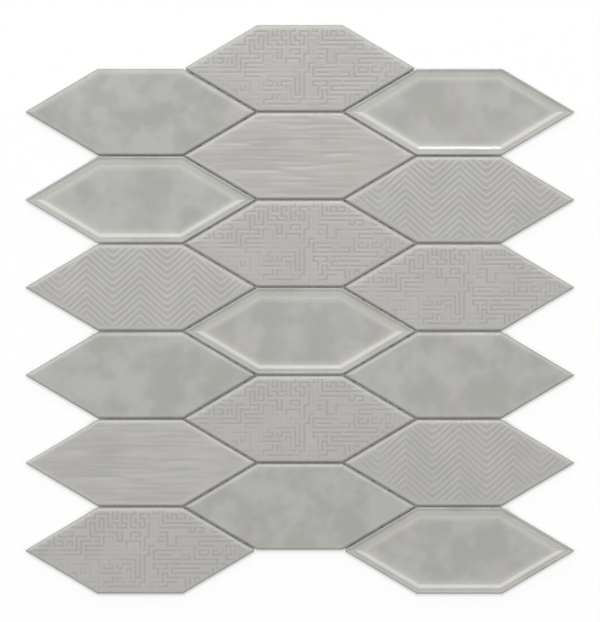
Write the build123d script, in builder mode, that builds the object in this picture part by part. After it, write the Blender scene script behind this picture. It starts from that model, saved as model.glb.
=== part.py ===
"""Picket mosaic sheet: eighteen glazed stretched-hexagon tiles on a glass-fibre net.

Millimetres. +Z points out of the glazed faces, +Y is the sheet's upper edge as it is hung,
and the origin is under the middle of the sheet, on the floor that its net lies on.
"""
import math
import os
import random

from build123d import *

# One picket tile: a hexagon stretched along X
tile_length = 127.4
tile_width = 47.6
flat_length = 47.0
tile_thickness = 7.6
arris_radius = 1.5

# How the tiles are laid, with each column's pressed faces from the top down
joint_width = 0.8
column_faces = {
    "left": ["plain", "rimmed", "chevron", "plain", "wavy", "maze"],
    "centre": ["maze", "wavy", "maze", "rimmed", "maze", "plain"],
    "right": ["rimmed", "chevron", "maze", "plain", "chevron", "rimmed"],
}

# Keyed back of a tile
back_land = 4.0
back_groove_width = 4.4
back_groove_pitch = 8.0
back_groove_depth = 0.6

# Rimmed face: a border about a sunk panel
rim_width = 2.7
panel_depth = 0.9
panel_slope_run = 2.6
panel_slope_steps = 5

# Chevron face: zigzag grooves with an upward peak on the tile's middle
chevron_period = 29.7
chevron_angle = 42.2
chevron_pitch = 3.78
chevron_groove_share = 0.5
chevron_depth = 0.2

# Maze face: grooves that walk a square lattice and never meet
maze_pitch = 2.5
maze_groove_width = 1.1
maze_depth = 0.2
maze_turn_chance = 0.16
maze_turn_back_chance = 0.3
maze_shortest_walk = 3
maze_longest_walk = 20
maze_grooves_cut = 16
maze_seed = 4

# Wavy face: long shallow scoops, each a little off the tile's line
scoop_radius = 3.2
scoop_depth = 0.2
scoop_pitch = 2.9
scoop_tilt = 1.6
scoop_shortest = 30
scoop_longest = 80
scoop_wander = 25
scoop_seed = 11

# Margin that the pressed patterns leave along the tile's edge
pattern_margin = 1.7

# Glass-fibre net: two layers of flat yarn, trimmed inside the sheet's outline
yarn_width = 1.0
yarn_thickness = 0.2
net_pitch = 5.0
net_trim = 3.0

# Worked out from the sizes above
net_thickness = 2 * yarn_thickness
shortest_yarn = 2 * net_pitch
face_height = net_thickness + tile_thickness
slant_run = (tile_length - flat_length) / 2
slant_angle = math.atan2(tile_width / 2, slant_run)
row_pitch = tile_width + joint_width
column_step = row_pitch / 2
column_pitch = tile_length + (joint_width - column_step * math.cos(slant_angle)) / math.sin(slant_angle)
column_count = len(column_faces)
row_count = len(column_faces["left"])
sheet_height = row_count * row_pitch - joint_width + column_step
sheet_width = (column_count - 1) * column_pitch + tile_length


def picket(grow=0.0, mode=Mode.ADD):
    """The tile's outline in the open sketch, with every side moved out by grow."""
    half_width = tile_width / 2 + grow
    half_length = tile_length / 2 + grow / math.sin(slant_angle)
    half_flat = half_length - half_width / math.tan(slant_angle)
    return Polygon(
        (half_length, 0),
        (half_flat, half_width),
        (-half_flat, half_width),
        (-half_length, 0),
        (-half_flat, -half_width),
        (half_flat, -half_width),
        mode=mode,
    )


def tile_places():
    """Each tile's name, pressed face and centre, column by column and from the top down."""
    places = []
    for column, (side, faces) in enumerate(column_faces.items()):
        x = (column - (column_count - 1) / 2) * column_pitch
        lift = column_step / 2 if column % 2 else -column_step / 2
        for row, face in enumerate(faces):
            y = ((row_count - 1) / 2 - row) * row_pitch + lift
            places.append((f"{side}_{row + 1}_{face}_tile", face, (x, y)))
    return places


def zigzag_stripe(middle):
    """One chevron groove in the open sketch, crossing the whole tile at height middle."""
    quarter = chevron_period / 4
    rise = 2 * quarter * math.tan(math.radians(chevron_angle))
    half_groove = chevron_pitch * chevron_groove_share / 2
    reach = math.ceil(tile_length / chevron_period) * 2
    line = [(2 * quarter * i, middle + (rise if i % 2 == 0 else 0)) for i in range(-reach, reach + 1)]
    upper = [(x, y + half_groove) for x, y in line]
    lower = [(x, y - half_groove) for x, y in reversed(line)]
    return Polygon(*upper, *lower)


def maze_walks():
    """Grooves of the maze as lists of lattice points, which visit each point at most once."""
    chance = random.Random(maze_seed)
    columns = int(tile_length / 2 / maze_pitch)
    rows = int(tile_width / 2 / maze_pitch)
    free = {(i, j) for i in range(-columns, columns + 1) for j in range(-rows, rows + 1)}
    starts = sorted(free)
    chance.shuffle(starts)
    walks = []
    for start in starts:
        if start not in free:
            continue
        free.discard(start)
        walk = [start]
        step = chance.choice([(1, 0), (-1, 0)])
        while len(walk) < maze_longest_walk:
            x, y = walk[-1]
            turns = [(step[1], step[0]), (-step[1], -step[0])]
            chance.shuffle(turns)
            turn_now = chance.random() < maze_turn_chance + (maze_turn_back_chance if step[0] == 0 else 0)
            choices = turns + [step] if turn_now else [step] + turns
            onward = [(dx, dy) for dx, dy in choices if (x + dx, y + dy) in free]
            if not onward:
                break
            step = onward[0]
            walk.append((x + step[0], y + step[1]))
            free.discard(walk[-1])
        if len(walk) >= maze_shortest_walk:
            walks.append(walk)
    return walks


def groove_runs(walk):
    """A walk's straight stretches, each as its first and last lattice point."""
    runs = []
    start = walk[0]
    for before, here, after in zip(walk, walk[1:], walk[2:]):
        if (here[0] - before[0], here[1] - before[1]) != (after[0] - here[0], after[1] - here[1]):
            runs.append((start, here))
            start = here
    runs.append((start, walk[-1]))
    return runs


def blank():
    """A bare tile: the pressed body with its rounded upper arris and its keyed back."""
    with BuildPart() as body:
        with BuildSketch(Plane.XY.offset(net_thickness)):
            picket()
        extrude(amount=tile_thickness)
        fillet(body.faces().sort_by(Axis.Z)[-1].edges(), arris_radius)
        with BuildSketch(Plane.XY.offset(net_thickness)):
            grooves = 2 * int((tile_width / 2 - back_land) / back_groove_pitch) + 1
            with GridLocations(0, back_groove_pitch, 1, grooves):
                Rectangle(tile_length, back_groove_width)
            picket(-back_land, mode=Mode.INTERSECT)
        extrude(amount=back_groove_depth, mode=Mode.SUBTRACT)
    return body.part


def plain_face():
    """A tile with a smooth glazed face."""
    return blank()


def rimmed_face():
    """A tile whose face dips, in an S-shaped slope, to a sunk panel inside a raised border."""
    with BuildPart() as tile:
        add(blank())
        for step in range(panel_slope_steps + 1):
            share = step / panel_slope_steps
            depth = panel_depth * (1 - math.cos(math.pi * share)) / 2
            with BuildSketch(Plane.XY.offset(face_height - depth)):
                picket(-rim_width - panel_slope_run * share)
        loft(ruled=True, mode=Mode.SUBTRACT)
    return tile.part


def chevron_face():
    """A tile pressed with zigzag grooves."""
    with BuildPart() as tile:
        add(blank())
        with BuildSketch(Plane.XY.offset(face_height)):
            stripes = math.ceil(tile_width / chevron_pitch)
            for stripe in range(-stripes, stripes + 1):
                zigzag_stripe(stripe * chevron_pitch)
            picket(-pattern_margin, mode=Mode.INTERSECT)
        extrude(amount=-chevron_depth, mode=Mode.SUBTRACT)
    return tile.part


def maze_face():
    """A tile pressed with keyed, never-meeting grooves, the longest of its maze."""
    longest_first = sorted(maze_walks(), key=len, reverse=True)
    with BuildPart() as tile:
        add(blank())
        with BuildSketch(Plane.XY.offset(face_height)):
            for walk in longest_first[:maze_grooves_cut]:
                for (x1, y1), (x2, y2) in groove_runs(walk):
                    with Locations(((x1 + x2) / 2 * maze_pitch, (y1 + y2) / 2 * maze_pitch)):
                        Rectangle(
                            abs(x2 - x1) * maze_pitch + maze_groove_width,
                            abs(y2 - y1) * maze_pitch + maze_groove_width,
                        )
            picket(-pattern_margin, mode=Mode.INTERSECT)
        extrude(amount=-maze_depth, mode=Mode.SUBTRACT)
    return tile.part


def wavy_face():
    """A tile pressed with long shallow scoops, like brushed or grained stuff."""
    chance = random.Random(scoop_seed)
    scoops = int((tile_width / 2 - scoop_pitch) / scoop_pitch)
    with BuildPart() as tile:
        add(blank())
        for scoop in range(-scoops, scoops + 1):
            middle = (chance.uniform(-scoop_wander, scoop_wander), scoop * scoop_pitch)
            length = chance.uniform(scoop_shortest, scoop_longest)
            tilt = chance.uniform(-scoop_tilt, scoop_tilt)
            with Locations(Location((*middle, face_height - scoop_depth + scoop_radius), (0, 90, tilt))):
                Cylinder(scoop_radius, length, mode=Mode.SUBTRACT)
    return tile.part


os.makedirs("parts", exist_ok=True)

pressed = {
    "plain": plain_face(),
    "rimmed": rimmed_face(),
    "chevron": chevron_face(),
    "maze": maze_face(),
    "wavy": wavy_face(),
}
for tile_name, face, place in tile_places():
    with BuildPart() as laid_tile:
        with Locations(place):
            add(pressed[face])
    laid_tile.part.label = tile_name
    export_step(laid_tile.part, f"parts/{tile_name}.step")

# The net's outline, a little inside the tiles' own
with BuildSketch() as net_outline:
    for _, _, place in tile_places():
        with Locations(place):
            picket(joint_width)
    offset(amount=-net_trim - joint_width, kind=Kind.INTERSECTION, mode=Mode.REPLACE)

yarn_reach = max(sheet_width, sheet_height)
yarn_count = 2 * int(yarn_reach / 2 / net_pitch) + 1
for name, base, yarn_size, grid in (
    ("net_warp_yarns", 0, (yarn_width, yarn_reach), (net_pitch, 0, yarn_count, 1)),
    ("net_weft_yarns", yarn_thickness, (yarn_reach, yarn_width), (0, net_pitch, 1, yarn_count)),
):
    with BuildPart() as layer:
        with BuildSketch(Plane.XY.offset(base)) as strands:
            with GridLocations(*grid):
                Rectangle(*yarn_size)
            add(net_outline.sketch, mode=Mode.INTERSECT)
            add([s for s in strands.faces() if s.area >= shortest_yarn * yarn_width], mode=Mode.REPLACE)
        extrude(amount=yarn_thickness)
    layer.part.label = name
    export_step(layer.part, f"parts/{name}.step")
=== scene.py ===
"""Looks of a picket mosaic sheet: pressed, glazed tiles on a glass-fibre net."""
import math
import random
from collections import namedtuple

import bmesh
import bpy
import numpy as np
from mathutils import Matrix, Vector
from mathutils.geometry import delaunay_2d_cdt


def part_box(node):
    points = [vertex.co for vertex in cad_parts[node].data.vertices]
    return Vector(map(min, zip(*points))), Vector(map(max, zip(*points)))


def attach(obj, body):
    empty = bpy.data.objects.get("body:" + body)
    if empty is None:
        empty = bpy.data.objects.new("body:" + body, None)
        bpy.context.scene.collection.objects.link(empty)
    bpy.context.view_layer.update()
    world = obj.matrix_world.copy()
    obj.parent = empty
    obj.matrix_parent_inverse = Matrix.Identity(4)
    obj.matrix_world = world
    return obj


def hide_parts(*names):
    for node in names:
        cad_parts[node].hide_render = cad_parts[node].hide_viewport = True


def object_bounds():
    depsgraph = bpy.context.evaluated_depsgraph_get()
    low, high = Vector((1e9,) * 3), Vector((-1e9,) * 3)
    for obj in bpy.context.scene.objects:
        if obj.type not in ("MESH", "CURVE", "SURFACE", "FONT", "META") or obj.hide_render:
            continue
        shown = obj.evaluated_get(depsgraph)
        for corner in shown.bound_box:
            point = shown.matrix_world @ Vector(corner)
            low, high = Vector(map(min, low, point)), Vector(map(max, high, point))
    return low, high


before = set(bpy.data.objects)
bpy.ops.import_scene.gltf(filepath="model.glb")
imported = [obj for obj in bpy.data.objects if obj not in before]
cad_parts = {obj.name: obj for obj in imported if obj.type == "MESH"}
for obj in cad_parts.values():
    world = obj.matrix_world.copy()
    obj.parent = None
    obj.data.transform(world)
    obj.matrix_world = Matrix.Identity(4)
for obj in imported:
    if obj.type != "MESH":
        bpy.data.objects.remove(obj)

cad_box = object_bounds()

# Sizes are in millimetres; meshes are turned to metres as they are made
MM = 0.001

# Tile: its outline, its arris and how far each face falls towards its edge
FLAT_LENGTH = 47.0
CORNER_RADIUS = 0.6
CORNER_SHARPENING = 0.6
SHARPEST_CORNER = 0.08
CORNER_STEPS = 4
ARRIS_STEPS = 7
ARRIS_END = math.radians(73)
EDGE_DIP = {"plain": 0.12, "rimmed": 0.03, "chevron": 0.12, "maze": 0.12, "wavy": 0.12}
EDGE_DIP_REACH = 1.1
FOOT_BEVEL = 0.35
SHARP_ANGLE = math.radians(50)

# Mesh of a tile: steps along its outline, room between its last ring and its grid, and how a strip is filled
RING_STEP = 0.95
GRID_CLEARANCE = 0.22
BEND_SAMPLES = 500
TRIANGLES_INSIDE = 1
WELD_DISTANCE = 1e-5

# Keyed back
BACK_LAND = 4.0
BACK_GROOVE_WIDTH = 4.4
BACK_GROOVE_PITCH = 8.0
BACK_GROOVE_DEPTH = 0.6
BACK_GROOVE_DRAFT = 0.3

# Rimmed face
RIM_WIDTH = 2.7
RIM_FALL = 0.28
RIM_LIP = 0.4
RIM_FALL_RUN = 1.6
PANEL_DEPTH = 0.9
PANEL_SLOPE_RUN = 2.6

# Chevron face, whose grooves the glaze fills towards the tips, and its grid cells in a period and in a pitch
CHEVRON_PERIOD = 29.7
CHEVRON_ANGLE = math.radians(42.2)
CHEVRON_PITCH = 3.78
CHEVRON_DEPTH = 0.2
CHEVRON_GROOVE_SHARE = 0.58
CHEVRON_WALL_SHARE = 0.16
CHEVRON_VALLEY_ROUND = 0.8
CHEVRON_FILL_START = 34
CHEVRON_FILL_WANDER = 16
CHEVRON_FILL_RUN = 24
CHEVRON_FILL = 0.75
CHEVRON_CELLS = (34, 8)

# Maze face, whose grooves the glaze fills in patches
MAZE_PITCH = 2.5
MAZE_GROOVE_WIDTH = 1.1
MAZE_DEPTH = 0.2
MAZE_TURN_CHANCE = 0.16
MAZE_TURN_BACK_CHANCE = 0.3
MAZE_SHORTEST_WALK = 3
MAZE_LONGEST_WALK = 20
MAZE_GROOVES_CUT = 16
MAZE_SEED = 4
MAZE_WALL = 0.4
MAZE_WIND_CHANCE = 0.5
MAZE_FILL_USUAL = 0.2
MAZE_FILL_SWING = 0.8
MAZE_FILL = 0.6

# Wavy face: scoops among finer streaks
SCOOP_RADIUS = 3.2
SCOOP_DEPTH = 0.2
SCOOP_PITCH = 2.9
SCOOP_TILT = 1.6
SCOOP_SHORTEST = 30
SCOOP_LONGEST = 80
SCOOP_WANDER = 25
SCOOP_SEED = 11
SCOOP_BEND = 0.5
SCOOP_END_RUN = 9
STREAK_DEPTH = 0.06
STREAK_BEND = 0.9
FINE_STREAK_SHARE = 0.5
WEAKEST_STREAK = 0.55

# Soft noise: the length and height of its patches, and the seed of its random table
CHEVRON_FILL_PATCHES = (13, 13, 3)
MAZE_FILL_PATCHES = (8, 8, 14)
SCOOP_BENDS = (17, 9, 21)
STREAK_BENDS = (19, 8, 5)
BROAD_STREAKS = (20, 1.9, 8)
FINE_STREAKS = (12, 1.1, 9)
STREAK_PATCHES = (24, 9, 12)
NOISE_TABLE = 64

# How much of each pressed pattern's depth shows through the glaze, and where from the edge it fades in
SHOWN_DEPTH = {"chevron": 0.5, "maze": 0.38, "wavy": 0.18}
PATTERN_FADE = {"chevron": (1.4, 1.6), "maze": (1.0, 1.0), "wavy": (0.9, 1.6)}

# How far each face's glaze pools in hollows and leaves crests, and how strongly it shows its clouds; the
# rimmed face's pooling is painted shade along its lip
POOLING_AND_LIP_SHADE = {"plain": 0.0, "rimmed": 0.28, "chevron": 0.2, "maze": 0.4, "wavy": 0.17}
CRESTS = {"plain": 0.0, "chevron": 0.0, "maze": 0.0, "wavy": 0.24}
MOTTLING = {"plain": 1.0, "rimmed": 0.9, "chevron": 0.35, "maze": 0.15, "wavy": 0.25}

# Hollows pool from this share of the deepest on, over this run
POOL_START = 0.2
POOL_RUN = 0.7
LEAST_DEPTH = 0.01

# Thin glaze along a patterned face's edge; a light band on the rimmed face's slope that is thin glaze and
# painted reflection; and painted shade along its lip
THIN_EDGE = 0.25
THIN_EDGE_PLACE = 1.5
THIN_EDGE_WIDTH = 0.9
SLOPE_THIN_AND_SHEEN_SHARE = 0.6
SLOPE_THIN_AND_SHEEN_INWARDS = 2.2
SLOPE_THIN_AND_SHEEN_OUTWARDS = 1.6
LIP_SHADE_PLACE = 1.1
LIP_SHADE_WIDTH = 0.4

# Glaze: sizes of its clouds, its heights on the side walls, and how strong its parts are
CLOUD_SIZE = 15
WARM_PATCH_SIZE = 24
DRIP_SIZE = 9
RIPPLE_SIZE = 3.0
GRAIN_SIZE = 0.5
CLOUD_LEVELS = (0.36, 0.64)
WARM_LEVELS = (0.4, 0.62)
BATCH_SPREAD = 40
BATCH_SEED = 5
DRIP_LENGTH = 1.8
GLAZE_FOOT = (5.8, 6.2)
# Below these heights the arris and side walls are painted darker and warmer: thin glaze over the body, and
# painted joint shade.
WORN_AND_SHADE_HEIGHTS = (6.3, 7.0)
WORN_AND_SHADE_SHARE = 0.8
THIN_AND_SHEEN_SHARE = 0.68
RIPPLE_HEIGHT = 0.05
PIT_DEPTH = 0.08
BODY_ROUGHNESS = 0.82
GLAZE_ROUGHNESS = 0.12
CLOUD_ROUGHNESS = 0.04
GLAZE_IOR = 1.44

# Net: yarns spread and flattened where they are bonded, with filaments along each
NET_PITCH = 5.0
YARN_STEP = 2.5
YARN_SIDES = 6
LOOSE_YARN_WIDTH = 0.72
BOND_FLATTENING = 0.12
FILAMENTS_ACROSS = 7
FILAMENT_STRETCH = 0.12
BINDER_SIZE = 4.0
YARN_CLEARNESS = 0.95

# Camera: straight down on the glazed faces, at the photograph's millimetres to a pixel
FRAME_HEIGHT_PX = 622
PIXEL = 0.5516
CAMERA_LENS = 600
SENSOR = 36
CAMERA_SHIFT = (0.1, -0.95)

# Light: an even room, and two lamps beyond the sheet's upper edge, with place and size in metres, and power
WHITE = (1.0, 1.0, 1.0, 1.0)
WORLD_STRENGTH = 0.38
LAMPS = {
    "soft box": ((-0.28, 1.25, 2.16), (2.9, 2.2), 49.4),
    "strip lamp": ((0.2, 1.64, 1.85), (0.36, 0.1), 5.5),
}

# Floor: how far it is whitened in the open, where a tile's edge meets it and under the joints
FLOOR_WHITE = 0.93
CONTACT_WHITE = 0.36
JOINT_WHITE = 0.17
CONTACT_REACH = 2.0
CONTACT_INSET = 0.3
FLOOR_INSET = 1.5
FLOOR_REACH = 4000
FLOOR_GAP = 0.02
CONTACT_STAGGER = 0.2


def box_corners(name):
    """A node's lowest and highest corner in millimetres."""
    return tuple(np.array(corner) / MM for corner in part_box(name))


# The tile's size and the slant of its tips, from the frame
tiles = sorted(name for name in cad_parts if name.endswith("_tile"))
first_low, first_high = box_corners(tiles[0])
TILE_LENGTH, TILE_WIDTH, TILE_THICKNESS = first_high - first_low
SLANT_RUN = (TILE_LENGTH - FLAT_LENGTH) / 2
SLANT = math.atan2(TILE_WIDTH / 2, SLANT_RUN)


def ease(value):
    """0 below 0, 1 above 1, and an S-shaped rise between."""
    value = np.clip(value, 0, 1)
    return value * value * (3 - 2 * value)


def hump(distance, width):
    """1 at no distance, falling away to 0 over about twice the width."""
    return np.exp(-((distance / width) ** 2))


def soft_noise(x, y, patches):
    """Smooth random values from -1 to 1 that change over patches of the given length and height."""
    length, height, seed = patches
    table = np.random.default_rng(seed).uniform(-1, 1, (NOISE_TABLE, NOISE_TABLE))
    x = x / length
    y = y / height
    column = np.floor(x).astype(int)
    row = np.floor(y).astype(int)
    across = ease(x - column)
    up = ease(y - row)
    left = column % NOISE_TABLE
    right = (column + 1) % NOISE_TABLE
    near, far = (
        table[line % NOISE_TABLE, left] * (1 - across) + table[line % NOISE_TABLE, right] * across
        for line in (row, row + 1)
    )
    return near * (1 - up) + far * up


def edge_distance(x, y):
    """How far inside the tile's outline a point is."""
    slanted = (TILE_LENGTH / 2 - np.abs(x)) * math.sin(SLANT) - np.abs(y) * math.cos(SLANT)
    return np.minimum(TILE_WIDTH / 2 - np.abs(y), slanted)


def outline_corners(inset):
    """The six corners of the tile's outline moved in by inset, anticlockwise from the right-hand tip."""
    half_width = TILE_WIDTH / 2 - inset
    half_length = TILE_LENGTH / 2 - inset / math.sin(SLANT)
    half_flat = half_length - half_width / math.tan(SLANT)
    upper = [(half_length, 0), (half_flat, half_width), (-half_flat, half_width)]
    return np.array(upper + [(-x, -y) for x, y in upper])


def side_steps():
    """How many steps each side of the tile's outline takes, the same on every ring."""
    corners = outline_corners(0)
    lengths = np.linalg.norm(np.roll(corners, -1, axis=0) - corners, axis=1)
    return (lengths / RING_STEP).astype(int)


def ring(inset):
    """Points round the tile's outline moved in by inset, with its corners a little rounded."""
    corners = outline_corners(inset)
    radius = max(CORNER_RADIUS - CORNER_SHARPENING * inset, SHARPEST_CORNER)
    ways = np.roll(corners, -1, axis=0) - corners
    ways /= np.linalg.norm(ways, axis=1)[:, None]
    arcs = []
    for corner, came, goes in zip(corners, np.roll(ways, 1, axis=0), ways):
        turn = math.acos(came @ goes)
        start = corner - came * radius * math.tan(turn / 2)
        centre = start + radius * np.array((-came[1], came[0]))
        first = math.atan2(*(start - centre)[::-1])
        angles = first + turn * np.arange(CORNER_STEPS + 1) / CORNER_STEPS
        arcs.append(centre + radius * np.column_stack((np.cos(angles), np.sin(angles))))
    points = []
    for arc, after, steps in zip(arcs, np.roll(arcs, -1, axis=0), side_steps()):
        share = np.arange(1, steps)[:, None] / steps
        points += [arc, arc[-1] + (after[0] - arc[-1]) * share]
    return np.concatenate(points)


def spread_lines(reach, step):
    """Evenly spaced grid lines from -reach to reach, about step apart."""
    count = math.ceil(reach / step)
    return np.arange(-count, count + 1) * step


def maze_lines(reach):
    """Grid lines that hold each maze groove's walls, from -reach to reach."""
    wall = MAZE_GROOVE_WIDTH / 2
    offsets = np.array((-wall - MAZE_WALL, -wall, -wall + MAZE_WALL, 0))
    offsets = np.concatenate((offsets, -offsets[:3], [MAZE_PITCH / 2]))
    count = math.ceil(reach / MAZE_PITCH)
    return np.sort((np.arange(-count, count + 1)[:, None] * MAZE_PITCH + offsets).ravel())


def chevron_line(x):
    """Height of a chevron's zigzag at x, with sharp peaks and a little roundness in the valleys."""
    rise = CHEVRON_PERIOD / 2 * math.tan(CHEVRON_ANGLE)
    from_peak = np.abs((x / CHEVRON_PERIOD + 0.5) % 1 - 0.5) * 2
    to_valley = (1 - from_peak) * rise
    return np.sqrt(to_valley**2 + CHEVRON_VALLEY_ROUND**2) - CHEVRON_VALLEY_ROUND


def flat_line(x):
    """No bend, for the faces whose pattern lies square."""
    return x * 0


def wander(chance, free, turn_chance, turn_back_chance):
    """Grooves that visit each free lattice point at most once, as lists of lattice points."""
    starts = sorted(free)
    chance.shuffle(starts)
    walks = []
    for start in starts:
        if start not in free:
            continue
        free.discard(start)
        walk = [start]
        step = chance.choice([(1, 0), (-1, 0)])
        while len(walk) < MAZE_LONGEST_WALK:
            x, y = walk[-1]
            turns = [(step[1], step[0]), (-step[1], -step[0])]
            chance.shuffle(turns)
            turn_now = chance.random() < turn_chance + (turn_back_chance if step[0] == 0 else 0)
            choices = turns + [step] if turn_now else [step] + turns
            onward = [(dx, dy) for dx, dy in choices if (x + dx, y + dy) in free]
            if not onward:
                break
            step = onward[0]
            walk.append((x + step[0], y + step[1]))
            free.discard(walk[-1])
        if len(walk) >= MAZE_SHORTEST_WALK:
            walks.append(walk)
    return walks


def maze_walks():
    """The maze's grooves: the solid's own long ones, and shorter ones that wind tighter between them."""
    chance = random.Random(MAZE_SEED)
    columns = int(TILE_LENGTH / 2 / MAZE_PITCH)
    rows = int(TILE_WIDTH / 2 / MAZE_PITCH)
    lattice = {(i, j) for i in range(-columns, columns + 1) for j in range(-rows, rows + 1)}
    walks = wander(chance, set(lattice), MAZE_TURN_CHANCE, MAZE_TURN_BACK_CHANCE)
    long_ones = sorted(walks, key=len, reverse=True)[:MAZE_GROOVES_CUT]
    left_over = lattice.difference(*long_ones)
    return long_ones + wander(chance, left_over, MAZE_WIND_CHANCE, 0)


def fade_in(face, edge):
    """How much of a face's pattern there is at this distance from the edge."""
    start, run = PATTERN_FADE[face]
    return ease((edge - start) / run)


def plain_relief(x, y, edge):
    """A smooth face: nothing pressed in."""
    return x * 0


def rimmed_relief(x, y, edge):
    """A sunk panel inside a raised rim that leans a little inwards."""
    fall = ease((edge - RIM_LIP) / RIM_FALL_RUN)
    slope = (1 - np.cos(math.pi * np.clip((edge - RIM_WIDTH) / PANEL_SLOPE_RUN, 0, 1))) / 2
    return -RIM_FALL * fall - (PANEL_DEPTH - RIM_FALL) * slope


def chevron_relief(x, y, edge):
    """Zigzag grooves that the glaze half fills towards the tips."""
    phase = ((y - chevron_line(x)) / CHEVRON_PITCH) % 1
    from_middle = np.abs((phase + 0.5) % 1 - 0.5)
    groove = ease((CHEVRON_GROOVE_SHARE / 2 - from_middle) / CHEVRON_WALL_SHARE + 0.5)
    ragged = CHEVRON_FILL_WANDER * soft_noise(x, y, CHEVRON_FILL_PATCHES)
    filled = ease((np.abs(x) - CHEVRON_FILL_START + ragged) / CHEVRON_FILL_RUN)
    depth = SHOWN_DEPTH["chevron"] * CHEVRON_DEPTH * groove * fade_in("chevron", edge)
    return -depth * (1 - CHEVRON_FILL * filled)


def maze_relief(x, y, edge):
    """Keyed grooves on a square lattice."""
    nearest = np.full(x.shape, MAZE_PITCH)
    for walk in maze_walks():
        for (x1, y1), (x2, y2) in zip(walk, walk[1:]):
            middle_x = (x1 + x2) / 2 * MAZE_PITCH
            middle_y = (y1 + y2) / 2 * MAZE_PITCH
            close = (np.abs(x - middle_x) < 2 * MAZE_PITCH) & (np.abs(y - middle_y) < 2 * MAZE_PITCH)
            beside = np.maximum(np.abs(x[close] - middle_x) - abs(x2 - x1) * MAZE_PITCH / 2, 0)
            above = np.maximum(np.abs(y[close] - middle_y) - abs(y2 - y1) * MAZE_PITCH / 2, 0)
            nearest[close] = np.minimum(nearest[close], np.maximum(beside, above))
    groove = ease((MAZE_GROOVE_WIDTH / 2 - nearest) / (2 * MAZE_WALL) + 0.5)
    filled = ease(MAZE_FILL_USUAL + MAZE_FILL_SWING * soft_noise(x, y, MAZE_FILL_PATCHES))
    depth = SHOWN_DEPTH["maze"] * MAZE_DEPTH * groove * fade_in("maze", edge)
    return -depth * (1 - MAZE_FILL * filled)


def scoops(x, y):
    """The wavy face's long shallow scoops at full depth, in the solid's own places."""
    chance = random.Random(SCOOP_SEED)
    count = int((TILE_WIDTH / 2 - SCOOP_PITCH) / SCOOP_PITCH)
    height = x * 0
    for scoop in range(-count, count + 1):
        middle_x = chance.uniform(-SCOOP_WANDER, SCOOP_WANDER)
        length = chance.uniform(SCOOP_SHORTEST, SCOOP_LONGEST)
        tilt = math.radians(chance.uniform(-SCOOP_TILT, SCOOP_TILT))
        along = (x - middle_x) * math.cos(tilt) + (y - scoop * SCOOP_PITCH) * math.sin(tilt)
        off = (y - scoop * SCOOP_PITCH) * math.cos(tilt) - (x - middle_x) * math.sin(tilt)
        off = off + SCOOP_BEND * soft_noise(x, y, SCOOP_BENDS)
        section = SCOOP_RADIUS - SCOOP_DEPTH - np.sqrt(np.maximum(SCOOP_RADIUS**2 - off**2, 0))
        ends = ease((length / 2 - np.abs(along)) / SCOOP_END_RUN + 0.5)
        height = np.minimum(height, np.minimum(section, 0) * ends)
    return height


def wavy_relief(x, y, edge):
    """Long shallow scoops among finer streaks, all of them below the face."""
    bent_y = y + STREAK_BEND * soft_noise(x, y, STREAK_BENDS)
    streaks = soft_noise(x, bent_y, BROAD_STREAKS) + FINE_STREAK_SHARE * soft_noise(x, bent_y, FINE_STREAKS)
    strength = WEAKEST_STREAK + (1 - WEAKEST_STREAK) * ease(0.5 + soft_noise(x, y, STREAK_PATCHES))
    streaked = STREAK_DEPTH * (strength * streaks - (1 + FINE_STREAK_SHARE))
    return (SHOWN_DEPTH["wavy"] * scoops(x, y) + streaked) * fade_in("wavy", edge)


# A face's relief, the bend of its grid, the grid's steps, and the insets of its rings from arris to grid
Face = namedtuple("Face", "relief bend grid_steps insets")
FACES = {
    "plain": Face(plain_relief, flat_line, (2.2, 2.2), (1.5, 1.9, 2.4, 3.0, 3.8, 5.0)),
    "rimmed": Face(rimmed_relief, flat_line, (2.2, 2.2), tuple(np.arange(0.7, 5.7, 0.24))),
    "chevron": Face(
        chevron_relief,
        chevron_line,
        (CHEVRON_PERIOD / CHEVRON_CELLS[0], CHEVRON_PITCH / CHEVRON_CELLS[1]),
        (1.5,),
    ),
    "maze": Face(maze_relief, flat_line, None, (1.5,)),
    "wavy": Face(wavy_relief, flat_line, (1.1, 0.32), (1.5,)),
}


def ragged_edge(kept):
    """Edges of the kept grid cells that no second kept cell shares, as pairs of grid points."""
    padded = np.pad(kept, 1)
    edges = []
    for j, i in zip(*np.nonzero(kept)):
        if not padded[j, i + 1]:
            edges.append(((j, i), (j, i + 1)))
        if not padded[j + 2, i + 1]:
            edges.append(((j + 1, i + 1), (j + 1, i)))
        if not padded[j + 1, i]:
            edges.append(((j + 1, i), (j, i)))
        if not padded[j + 1, i + 2]:
            edges.append(((j, i + 1), (j + 1, i + 1)))
    return edges


def closed_loop(start, count):
    """Edges round a closed loop of points that are numbered from start."""
    return [(start + k, start + (k + 1) % count) for k in range(count)]


def fill_between(points, edges):
    """Triangles of the plane region that the given edges bound, by the points' own numbers."""
    corners = [Vector(p) for p in points]
    filled = delaunay_2d_cdt(corners, edges, [], TRIANGLES_INSIDE, WELD_DISTANCE)
    _, _, triangles, own, _, _ = filled
    return [[own[corner][0] for corner in triangle] for triangle in triangles]


def grid_lines(face):
    """Places of a face's grid lines across and up the tile, before they are bent."""
    _, bend, steps, _ = FACES[face]
    if steps is None:
        return maze_lines(TILE_LENGTH / 2), maze_lines(TILE_WIDTH / 2)
    bends = bend(np.linspace(-TILE_LENGTH, TILE_LENGTH, BEND_SAMPLES))
    reach = TILE_WIDTH / 2 + np.max(np.abs(bends))
    return spread_lines(TILE_LENGTH / 2, steps[0]), spread_lines(reach, steps[1])


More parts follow.
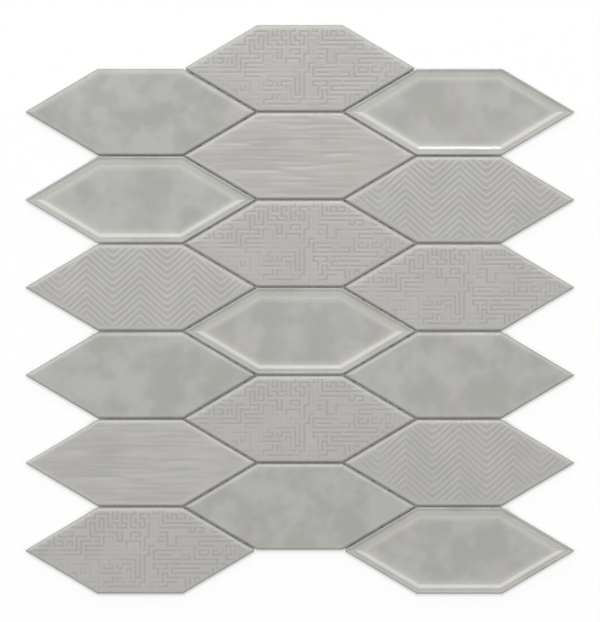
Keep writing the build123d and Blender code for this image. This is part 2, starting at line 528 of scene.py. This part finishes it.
def top_face(face):
    """The upper face inside its arris: points in plan, quads and triangles, and the ring they end at."""
    _, bend, _, insets = FACES[face]
    across, up = grid_lines(face)
    grid_x, grid_up = np.meshgrid(across, up)
    grid_y = grid_up + bend(grid_x)
    inside = edge_distance(grid_x, grid_y) > insets[-1] + GRID_CLEARANCE
    kept = inside[:-1, :-1] & inside[1:, :-1] & inside[:-1, 1:] & inside[1:, 1:]
    corners = np.zeros(inside.shape, bool)
    for down, right in ((0, 0), (0, 1), (1, 0), (1, 1)):
        corners[down : down + kept.shape[0], right : right + kept.shape[1]] |= kept
    number = np.full(inside.shape, -1)
    number[corners] = np.arange(corners.sum())
    quads = [
        [number[j, i], number[j, i + 1], number[j + 1, i + 1], number[j + 1, i]]
        for j, i in zip(*np.nonzero(kept))
    ]
    plan = np.column_stack((grid_x[corners], grid_y[corners]))
    border = ring(insets[-1])
    rim_edges = ragged_edge(kept)
    rim_points = sorted({point for edge in rim_edges for point in edge})
    spot = {point: index for index, point in enumerate(rim_points)}
    strip = [(grid_x[point], grid_y[point]) for point in rim_points] + [tuple(p) for p in border]
    start = len(rim_points)
    loops = [(spot[a], spot[b]) for a, b in rim_edges] + closed_loop(start, len(border))
    triangles = []
    for triangle in fill_between(strip, loops):
        middle = np.mean([strip[k] for k in triangle], axis=0)
        column = np.searchsorted(across, middle[0]) - 1
        row = np.searchsorted(up, middle[1] - bend(middle[:1])[0]) - 1
        if 0 <= row < kept.shape[0] and 0 <= column < kept.shape[1] and kept[row, column]:
            if all(k < start for k in triangle):
                continue
        triangles.append([
            number[rim_points[k]] if k < start else len(plan) + k - start for k in triangle
        ])
    return plan, quads + triangles, border


def outline_strip(first, second, count):
    """Quads between two rings of count points each, numbered from first and from second."""
    return [
        [second + k, second + (k + 1) % count, first + (k + 1) % count, first + k]
        for k in range(count)
    ]


def groove_outline(middle, inset):
    """Outline of one groove of the keyed back, moved in by inset, anticlockwise."""
    low_y = middle - BACK_GROOVE_WIDTH / 2 + inset
    high_y = middle + BACK_GROOVE_WIDTH / 2 - inset
    tip = TILE_LENGTH / 2 - (BACK_LAND + inset) / math.sin(SLANT)
    heights = sorted({low_y, high_y} | ({0.0} if low_y < 0 < high_y else set()))
    right = [(tip - abs(y) / math.tan(SLANT), y) for y in heights]
    return right + [(-x, y) for x, y in reversed(right)]


def keyed_back(foot_start, foot):
    """Points and faces of the back inside its foot ring, whose points start at foot_start."""
    count = int((TILE_WIDTH / 2 - BACK_LAND) / BACK_GROOVE_PITCH)
    middles = [row * BACK_GROOVE_PITCH for row in range(-count, count + 1)]
    mouths = [groove_outline(middle, 0) for middle in middles]
    strip = [tuple(p) for p in foot]
    edges = closed_loop(0, len(foot))
    starts = []
    for mouth in mouths:
        starts.append(len(strip))
        edges += closed_loop(len(strip), len(mouth))
        strip += mouth
    points = [(x, y, 0) for x, y in strip[len(foot) :]]
    faces = []
    for triangle in fill_between(strip, edges):
        x, y = np.mean([strip[k] for k in triangle], axis=0)
        nearest = min(middles, key=lambda middle: abs(middle - y))
        in_mouth = abs(y - nearest) < BACK_GROOVE_WIDTH / 2 and edge_distance(x, y) > BACK_LAND
        if not (in_mouth and all(k >= len(foot) for k in triangle)):
            faces.append([foot_start + k for k in triangle])
    for middle, mouth, start in zip(middles, mouths, starts):
        floor = groove_outline(middle, BACK_GROOVE_DRAFT)
        floor_start = foot_start + len(foot) + len(points)
        points += [(x, y, BACK_GROOVE_DEPTH) for x, y in floor]
        faces += outline_strip(foot_start + start, floor_start, len(mouth))
        faces.append([floor_start + k for k in range(len(floor))])
    return points, faces


def glaze_spread(face, edge, pressed):
    """How far the glaze gathers in hollows and how far it runs thin at each point, from 0 to 1; on the
    rimmed face, painted shade along the lip and, on its slope, thin glaze with painted reflection.
    """
    if face == "rimmed":
        # A light band on the slope: glaze run thin there, and painted reflection of the bright room.
        slope_middle = RIM_WIDTH + SLOPE_THIN_AND_SHEEN_SHARE * PANEL_SLOPE_RUN
        width = np.where(edge > slope_middle, SLOPE_THIN_AND_SHEEN_INWARDS, SLOPE_THIN_AND_SHEEN_OUTWARDS)
        # A dark line of painted shade along the lip, just inside the arris.
        lip_shade = POOLING_AND_LIP_SHADE[face] * hump(edge - LIP_SHADE_PLACE, LIP_SHADE_WIDTH)
        return lip_shade, hump(edge - slope_middle, width)
    deepest = max(-pressed.min(), LEAST_DEPTH)
    deep = ease((-pressed / deepest - POOL_START) / POOL_RUN)
    thin_edge = THIN_EDGE * hump(edge - THIN_EDGE_PLACE, THIN_EDGE_WIDTH)
    return POOLING_AND_LIP_SHADE[face] * deep, thin_edge + CRESTS[face] * (1 - deep)


def edge_dip(face, edge):
    """How far the face has fallen towards its edge."""
    return EDGE_DIP[face] * np.exp(-(edge - FACES[face].insets[0]) / EDGE_DIP_REACH)


def ring_relief(face, inset):
    """The face's relief all round the outline moved in by inset."""
    outline = ring(inset)
    return FACES[face].relief(*outline.T, np.full(len(outline), inset))


def outer_rings(face):
    """Rings from the face's grid out over its arris and down to its foot, as insets and heights."""
    insets = FACES[face].insets
    arris = insets[0]
    rings = []
    for inset in reversed(insets[:-1]):
        rings.append((inset, TILE_THICKNESS + ring_relief(face, inset)[0] - edge_dip(face, inset)))
    lean = math.atan(EDGE_DIP[face] / EDGE_DIP_REACH)
    radius = arris / (math.sin(ARRIS_END) - math.sin(lean))
    shoulder = TILE_THICKNESS + ring_relief(face, arris).max() - EDGE_DIP[face]
    for step in range(1, ARRIS_STEPS + 1):
        turn = lean + (ARRIS_END - lean) * step / ARRIS_STEPS
        inset = arris - radius * (math.sin(turn) - math.sin(lean))
        rings.append((inset, shoulder - radius * (math.cos(lean) - math.cos(turn))))
    return rings + [(0, TILE_THICKNESS / 2), (0, FOOT_BEVEL), (FOOT_BEVEL, 0)]


def tile_shape(face):
    """A whole tile about its own centre, standing on z = 0: points, faces, glaze gathered in hollows
    (painted shade along the rimmed lip) and thin glaze (with painted reflection on the rimmed slope).
    """
    plan, faces, border = top_face(face)
    plan = np.concatenate((plan, border))
    edge = edge_distance(*plan.T)
    pressed = FACES[face].relief(*plan.T, edge)
    points = [np.column_stack((plan, TILE_THICKNESS + pressed - edge_dip(face, edge)))]
    pooled_and_lip_shade, thin = (list(values) for values in glaze_spread(face, edge, pressed))
    above = len(plan) - len(border)
    total = len(plan)
    for inset, height in outer_rings(face):
        outline = ring(inset)
        points.append(np.column_stack((outline, np.full(len(outline), height))))
        faces += outline_strip(above, total, len(outline))
        above = total
        total += len(outline)
        spread = glaze_spread(face, np.full(len(outline), inset), np.zeros(len(outline)))
        pooled_and_lip_shade += list(spread[0])
        thin += list(spread[1])
    back_points, back_faces = keyed_back(above, outline)
    points.append(np.array(back_points))
    rest = [0.0] * len(back_points)
    return np.concatenate(points), faces + back_faces, pooled_and_lip_shade + rest, thin + rest


def make_mesh(name, points, faces, numbers):
    """A mesh object in metres, with its outward sides found and one number of each kind at each point."""
    mesh = bpy.data.meshes.new(name)
    mesh.from_pydata((points * MM).tolist(), [], [list(map(int, face)) for face in faces])
    shell = bmesh.new()
    shell.from_mesh(mesh)
    bmesh.ops.recalc_face_normals(shell, faces=shell.faces)
    shell.to_mesh(mesh)
    shell.free()
    for label, values in numbers.items():
        layer = mesh.attributes.new(label, "FLOAT", "POINT")
        layer.data.foreach_set("value", np.asarray(values, np.float32))
    mesh.polygons.foreach_set("use_smooth", np.ones(len(mesh.polygons), bool))
    mesh.set_sharp_from_angle(angle=SHARP_ANGLE)
    made = bpy.data.objects.new(name, mesh)
    bpy.context.scene.collection.objects.link(made)
    return made


class Value:
    """A shader socket that can be used in sums."""

    def __init__(self, paint, socket):
        self.paint = paint
        self.socket = socket

    def worked(self, operation, first, second):
        """The result of a Math node with this operation."""
        return self.paint.node("ShaderNodeMath", {"operation": operation}, {0: first, 1: second})

    def __add__(self, other):
        return self.worked("ADD", self, other)

    __radd__ = __add__

    def __mul__(self, other):
        return self.worked("MULTIPLY", self, other)

    __rmul__ = __mul__

    def __sub__(self, other):
        return self.worked("SUBTRACT", self, other)

    def __rsub__(self, other):
        return self.worked("SUBTRACT", other, self)

    def held(self):
        """The value kept between 0 and 1."""
        return self.paint.node("ShaderNodeClamp", {}, {"Value": self})


class Paint:
    """The nodes of one material, or of the room, and the shader that they feed."""

    def __init__(self, owner, shader):
        owner.use_nodes = True
        self.owner = owner
        self.tree = owner.node_tree
        self.shader = self.tree.nodes[shader]

    def node(self, kind, settings, inputs, output=0):
        """A node of this kind, with its settings made first and then its sockets' values or links."""
        made = self.tree.nodes.new(kind)
        for name, value in settings.items():
            setattr(made, name, value)
        for name, value in inputs.items():
            self.feed(made.inputs[name], value)
        return Value(self, made.outputs[output])

    def feed(self, socket, value):
        """Link a value to a socket, or set it."""
        if isinstance(value, Value):
            self.tree.links.new(value.socket, socket)
        else:
            socket.default_value = value

    def number(self, label):
        """The number that the mesh holds at each point under this label."""
        return self.node("ShaderNodeAttribute", {"attribute_name": label}, {}, "Fac")

    def blend(self, share, first, second):
        """A colour between two colours."""
        return self.node("ShaderNodeMix", {"data_type": "RGBA"}, {0: share, 6: first, 7: second}, 2)

    def millimetres(self):
        """Where the surface is, in millimetres."""
        place = self.node("ShaderNodeNewGeometry", {}, {}, "Position")
        return self.node("ShaderNodeVectorMath", {"operation": "SCALE"}, {0: place, "Scale": 1 / MM})

    def cloud(self, place, size, batch=0.0, detail=2.0, roughness=0.5):
        """Soft noise from 0 to 1 with blotches of about this size in millimetres."""
        inputs = {"Vector": place, "W": batch, "Scale": 1 / size, "Detail": detail, "Roughness": roughness}
        return self.node("ShaderNodeTexNoise", {"noise_dimensions": "4D"}, inputs)

    def step(self, value, start, end):
        """0 where the value is below start, 1 above end, and smooth between."""
        settings = {"interpolation_type": "SMOOTHSTEP"}
        inputs = {"Value": value, 1: start, 2: end, 3: 0.0, 4: 1.0}
        return self.node("ShaderNodeMapRange", settings, inputs)

    def bump(self, strength, height):
        """Feed this height, in millimetres, to the shader's normal."""
        inputs = {"Strength": strength, "Distance": MM, "Height": height}
        self.feed(self.shader.inputs["Normal"], self.node("ShaderNodeBump", {}, inputs))

    def whitened(self, share, output):
        """Show white, by this share, to what sees the surface straight, mirrored or through glass."""
        rays = ("Is Camera Ray", "Is Glossy Ray", "Is Transmission Ray")
        camera, glossy, through = (self.node("ShaderNodeLightPath", {}, {}, ray) for ray in rays)
        white = self.node("ShaderNodeEmission", {}, {"Color": WHITE, "Strength": 1.0})
        lit = Value(self, self.shader.outputs[0])
        seen = (camera + glossy + through).held() * share
        mixed = self.node("ShaderNodeMixShader", {}, {0: seen, 1: lit, 2: white})
        self.feed(self.tree.nodes[output].inputs["Surface"], mixed)


def new_finish(name):
    """A new material's paint."""
    return Paint(bpy.data.materials.new(name), "Principled BSDF")


def screen(red, green, blue):
    """The colour that shows at these 0 to 255 screen levels."""
    return tuple(((level / 255 + 0.055) / 1.055) ** 2.4 for level in (red, green, blue)) + (1.0,)


def tile_finish():
    """Cloudy grey glaze that pools in the pattern and thins on the edges, over a bare cream body, with
    painted shade along the rimmed lip, painted reflection on the rimmed slope, and a darker, warmer arris
    and side wall that is partly body showing through and partly painted joint shade.
    """
    paint = new_finish("cloudy grey glaze")
    place = paint.millimetres()
    batch = paint.number("batch") * BATCH_SPREAD
    blotch = paint.step(paint.cloud(place, CLOUD_SIZE, batch), *CLOUD_LEVELS)
    warm = paint.step(paint.cloud(place, WARM_PATCH_SIZE, batch + 7), *WARM_LEVELS)
    mottling = paint.number("mottling")
    thick = paint.blend(warm, screen(166, 167, 162), screen(169, 168, 163))
    thin = paint.blend(warm, screen(179, 180, 175), screen(181, 180, 176))
    even = paint.blend(warm, screen(182, 180, 176), screen(184, 182, 178))
    glaze = paint.blend(mottling, even, paint.blend(blotch, thick, thin))
    # Darker where the glaze pools in hollows; on the rimmed face this is a painted shade line along the lip.
    glaze = paint.blend(paint.number("pooled_and_lip_shade"), glaze, screen(138, 138, 131))
    # Lighter where the glaze runs thin; on the rimmed face's slope this band is also painted reflection.
    glaze = paint.blend(paint.number("thin") * THIN_AND_SHEEN_SHARE, glaze, screen(210, 208, 200))
    height = paint.node("ShaderNodeSeparateXYZ", {}, {"Vector": place}, "Z")
    # Darker, warmer glaze low on the arris and side walls: body showing through thin glaze, and painted
    # shade of the joints.
    worn_and_joint_shade = 1 - paint.step(height, *WORN_AND_SHADE_HEIGHTS)
    glaze = paint.blend(worn_and_joint_shade * WORN_AND_SHADE_SHARE, glaze, screen(170, 165, 142))
    drip = paint.cloud(place, DRIP_SIZE, batch + 3)
    glazed = paint.step(height + drip * DRIP_LENGTH, *GLAZE_FOOT)
    grain = paint.cloud(place, GRAIN_SIZE, detail=4.0, roughness=0.7)
    body = paint.blend(grain, screen(176, 164, 142), screen(200, 190, 168))
    paint.feed(paint.shader.inputs["Base Color"], paint.blend(glazed, body, glaze))
    smoother = BODY_ROUGHNESS - GLAZE_ROUGHNESS - CLOUD_ROUGHNESS * blotch
    paint.feed(paint.shader.inputs["Roughness"], BODY_ROUGHNESS - glazed * smoother)
    ripple = paint.cloud(place, RIPPLE_SIZE, batch + 11) * RIPPLE_HEIGHT * glazed
    pits = grain * PIT_DEPTH * (1 - glazed)
    paint.bump(0.5, ripple + pits)
    paint.shader.inputs["IOR"].default_value = GLAZE_IOR
    return paint.owner


def yarn_finish():
    """White glass yarn: fine filaments along each strand under a dull binder."""
    paint = new_finish("bonded glass yarn")
    across = paint.number("across") * FILAMENTS_ACROSS
    along = paint.number("along") * FILAMENT_STRETCH
    strand = paint.node("ShaderNodeCombineXYZ", {}, {"X": across, "Y": along, "Z": 0.0})
    filaments = paint.cloud(strand, 1.0, detail=3.0, roughness=0.6)
    binder = paint.cloud(paint.millimetres(), BINDER_SIZE) * 0.3
    colour = paint.blend(filaments, screen(232, 232, 228), screen(250, 250, 247))
    paint.feed(paint.shader.inputs["Base Color"], paint.blend(binder, colour, screen(240, 238, 230)))
    paint.feed(paint.shader.inputs["Roughness"], 0.3 + binder)
    paint.shader.inputs["Transmission Weight"].default_value = YARN_CLEARNESS
    paint.bump(0.6, filaments * 0.1)
    return paint.owner


def floor_finish():
    """Pale floor, which shows as white but keeps the more of the sheet's shadow the less clear it is."""
    paint = new_finish("pale floor")
    paint.shader.inputs["Base Color"].default_value = screen(250, 250, 250)
    paint.shader.inputs["Roughness"].default_value = 0.9
    paint.whitened(paint.number("clear"), "Material Output")
    return paint.owner


def lay_tiles():
    """Every tile in its place, in the glaze of its own batch."""
    finish = tile_finish()
    shapes = {}
    chance = random.Random(BATCH_SEED)
    for name in tiles:
        face = name.split("_")[2]
        if face not in shapes:
            shapes[face] = tile_shape(face)
        points, faces, pooled_and_lip_shade, thin = shapes[face]
        low, high = box_corners(name)
        middle = (low + high) / 2
        numbers = {
            "pooled_and_lip_shade": pooled_and_lip_shade,
            "thin": thin,
            "batch": np.full(len(points), chance.random()),
            "mottling": np.full(len(points), MOTTLING[face]),
        }
        tile = make_mesh("glazed_" + name, points + (middle[0], middle[1], low[2]), faces, numbers)
        tile.data.materials.append(finish)
        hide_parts(name)
        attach(tile, "root")


def yarn_runs(node):
    """The lowest and highest corner of each separate yarn of a net layer."""
    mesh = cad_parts[node].data
    points = np.array([v.co for v in mesh.vertices]) / MM
    spots, number = np.unique(np.round(points, 3), axis=0, return_inverse=True)
    number = number.ravel()
    owner = list(range(len(spots)))

    def head(index):
        while owner[index] != index:
            owner[index] = owner[owner[index]]
            index = owner[index]
        return index

    for polygon in mesh.polygons:
        first, *others = (number[k] for k in polygon.vertices)
        for other in others:
            owner[head(other)] = head(first)
    heads = np.array([head(k) for k in range(len(spots))])
    return [(spots[heads == h].min(axis=0), spots[heads == h].max(axis=0)) for h in np.unique(heads)]


def weave(node, along):
    """One net layer: each yarn a flat bundle, spread where it is bonded to a crossing yarn."""
    side = 1 - along
    points, faces, across_values, along_values = [], [], [], []
    angles = np.arange(YARN_SIDES) * 2 * math.pi / YARN_SIDES
    for low, high in yarn_runs(node):
        middle = (low + high) / 2
        half_width = (high[side] - low[side]) / 2
        half_height = (high[2] - low[2]) / 2
        stops = max(int((high[along] - low[along]) / YARN_STEP), 1) + 1
        for stop in range(stops):
            place = low[along] + (high[along] - low[along]) * stop / (stops - 1)
            bonded = 0.5 + 0.5 * math.cos(2 * math.pi * place / NET_PITCH)
            wide = half_width * (LOOSE_YARN_WIDTH + (1 - LOOSE_YARN_WIDTH) * bonded)
            thick = half_height * (1 - BOND_FLATTENING * bonded)
            loop = np.zeros((YARN_SIDES, 3))
            loop[:, along] = place
            loop[:, side] = middle[side] + wide * np.cos(angles)
            loop[:, 2] = middle[2] + thick * np.sin(angles)
            start = len(points) * YARN_SIDES
            points.append(loop)
            across_values.append(np.cos(angles))
            along_values.append(np.full(YARN_SIDES, place))
            if stop:
                faces += outline_strip(start - YARN_SIDES, start, YARN_SIDES)
            if stop in (0, stops - 1):
                faces.append([start + k for k in range(YARN_SIDES)])
    numbers = {"across": np.concatenate(across_values), "along": np.concatenate(along_values)}
    return make_mesh("woven_" + node, np.concatenate(points), faces, numbers)


def hang_net():
    """Both layers of the backing net."""
    finish = yarn_finish()
    for node, along in (("net_warp_yarns", 1), ("net_weft_yarns", 0)):
        layer = weave(node, along)
        layer.data.materials.append(finish)
        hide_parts(node)
        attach(layer, "root")


def place_camera():
    """A long lens looking straight down, with the photograph's framing."""
    data = bpy.data.cameras.new("camera")
    data.lens = CAMERA_LENS
    data.sensor_fit = "VERTICAL"
    data.sensor_height = SENSOR
    camera = bpy.data.objects.new("camera", data)
    bpy.context.scene.collection.objects.link(camera)
    distance = FRAME_HEIGHT_PX * PIXEL * CAMERA_LENS / SENSOR
    camera.location = (CAMERA_SHIFT[0] * MM, CAMERA_SHIFT[1] * MM, cad_box[1][2] + distance * MM)
    bpy.context.scene.camera = camera


def light_scene():
    """An even pale room, which is seen as white, and its two lamps."""
    world = bpy.data.worlds.new("pale room")
    bpy.context.scene.world = world
    room = Paint(world, "Background")
    room.shader.inputs["Color"].default_value = WHITE
    room.shader.inputs["Strength"].default_value = WORLD_STRENGTH
    room.whitened(1.0, "World Output")
    for name, (place, size, power) in LAMPS.items():
        data = bpy.data.lights.new(name, "AREA")
        data.shape = "RECTANGLE"
        data.size, data.size_y = size
        data.energy = power
        lamp = bpy.data.objects.new(name, data)
        lamp.location = place
        lamp.rotation_euler = (-Vector(place)).to_track_quat("-Z", "Y").to_euler()
        bpy.context.scene.collection.objects.link(lamp)


def tile_middle(name):
    """Where a tile's centre is in plan."""
    low, high = box_corners(name)
    return (low + high)[:2] / 2


def sheet_outline(inset):
    """The sheet's outline moved in by inset, anticlockwise from its lower left-hand column's foot."""
    left, centre, right = (
        sorted((tile_middle(name) for name in tiles if name.startswith(side)), key=lambda place: place[1])
        for side in ("left", "centre", "right")
    )
    right_tip, upper_right, upper_left, left_tip, lower_left, lower_right = outline_corners(inset)
    path = [left[0] + lower_left, left[0] + lower_right, left[0] + right_tip, centre[0] + lower_left]
    path += [centre[0] + lower_right, right[0] + left_tip, right[0] + lower_left]
    for place in right:
        path += [place + lower_right, place + right_tip, place + upper_right]
    path += [right[-1] + upper_left, centre[-1] + right_tip, centre[-1] + upper_right]
    path += [centre[-1] + upper_left, centre[-1] + left_tip, left[-1] + upper_right]
    for place in reversed(left):
        path += [place + upper_left, place + left_tip, place + lower_left]
    return path


def contact_rings():
    """A ring of floor round every tile, clearer outwards: points, faces and how clear each point is."""
    points, faces, clear = [], [], []
    for index, name in enumerate(tiles):
        depth = (2 + CONTACT_STAGGER * index) * FLOOR_GAP
        start = len(points)
        for inset, share in ((CONTACT_INSET, CONTACT_WHITE), (-CONTACT_REACH, FLOOR_WHITE)):
            corners = outline_corners(inset) + tile_middle(name)
            points += [(x, y, -depth) for x, y in corners]
            clear += [share] * len(corners)
        faces += outline_strip(start + len(corners), start, len(corners))
    return points, faces, clear


def lay_floor():
    """A wide pale floor that shows white, but less so close to the tiles and least under the joints."""
    finish = floor_finish()
    far = FLOOR_REACH
    depth = (3 + CONTACT_STAGGER * len(tiles)) * FLOOR_GAP
    wide = [(-far, -far, -depth), (far, -far, -depth), (far, far, -depth), (-far, far, -depth)]
    inner = [(x, y, -FLOOR_GAP) for x, y in sheet_outline(FLOOR_INSET)]
    for name, points, faces, clear in (
        ("open_floor", wide, [range(4)], [FLOOR_WHITE] * 4),
        ("contact_floor", *contact_rings()),
        ("joint_floor", inner, [range(len(inner))], [JOINT_WHITE] * len(inner)),
    ):
        floor = make_mesh(name, np.array(points), faces, {"clear": clear})
        floor.data.materials.append(finish)


place_camera()
lay_tiles()
hang_net()
light_scene()
lay_floor()
bpy.context.scene.view_settings.view_transform = "Standard"
